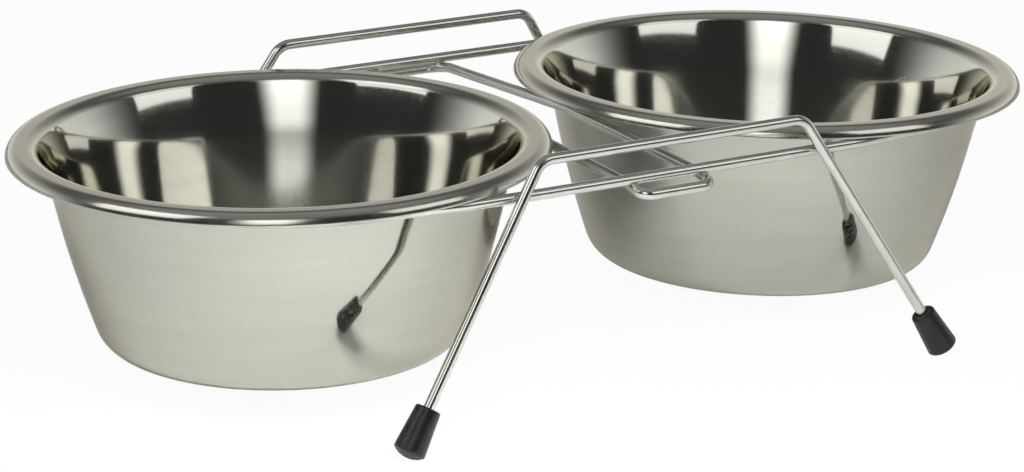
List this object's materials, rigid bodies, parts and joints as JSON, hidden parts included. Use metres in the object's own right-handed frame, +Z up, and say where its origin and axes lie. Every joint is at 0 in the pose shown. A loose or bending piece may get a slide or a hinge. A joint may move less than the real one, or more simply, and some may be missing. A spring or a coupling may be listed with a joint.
{
  "type": "double pet bowl",
  "caption": "Round steel feeding bowls with turned-down rims, side by side in a low bent-wire stand with splayed legs and rubber feet; each bowl lifts out.",
  "frame": {"origin": "on the floor, under the middle of the stand", "axes": "+X along the row of bowls to the right, -Y towards the front, +Z up"},
  "size_m": [0.4182, 0.2282, 0.0991],
  "materials": {
    "bowl_steel": "stainless sheet, satin outside and on the flange, polished inside",
    "wire_chrome": "bright plated wire",
    "foot_rubber": "matte moulded rubber"
  },
  "bodies": {
    "stand": {"support_loop": "wire_chrome", "bridge_loop": "wire_chrome", "front_leg_wire": "wire_chrome", "back_leg_wire": "wire_chrome", "foot_front_left": "foot_rubber", "foot_front_right": "foot_rubber", "foot_back_left": "foot_rubber", "foot_back_right": "foot_rubber"},
    "bowl_left": {"bowl_left": "bowl_steel"},
    "bowl_right": {"bowl_right": "bowl_steel"}
  },
  "joints": [
    {"name": "bowl_left_lift", "type": "slide", "parent": "stand", "child": "bowl_left", "axis": [0, 0, 1], "range_m": [0, 0.1]},
    {"name": "bowl_right_lift", "type": "slide", "parent": "stand", "child": "bowl_right", "axis": [0, 0, 1], "range_m": [0, 0.1]}
  ]
}
